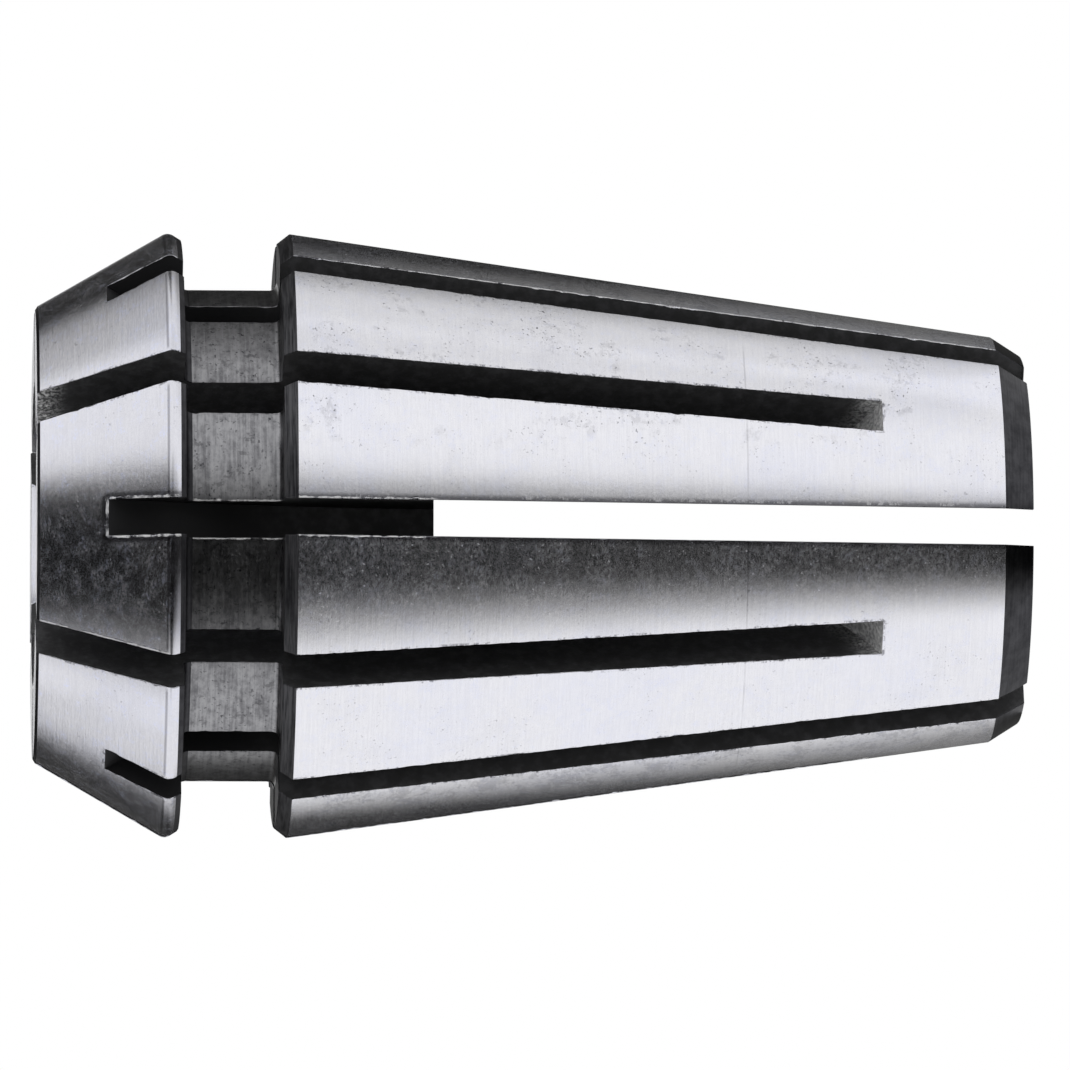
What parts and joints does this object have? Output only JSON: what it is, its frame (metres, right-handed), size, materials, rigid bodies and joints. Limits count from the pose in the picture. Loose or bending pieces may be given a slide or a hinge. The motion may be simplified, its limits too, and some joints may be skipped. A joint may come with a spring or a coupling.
{
  "type": "spring collet",
  "caption": "Slotted tapered sleeve that closes on a round tool shank when a nut presses its nose into a conical seat.",
  "frame": {"origin": "centre of the small rear end face, at the bottom of the part", "axes": "+Z along the bore axis from the rear end up to the clamping nose; the slots sawn from the rear lie at -90 degrees from +X and every 60 degrees from there"},
  "size_m": [0.0168, 0.0168, 0.0276],
  "materials": {
    "collet_steel": "hardened spring steel, finely ground on the tapers, with dark oily stains in the groove and slots"
  },
  "bodies": {
    "root": {"collet": "collet_steel"}
  },
  "joints": []
}
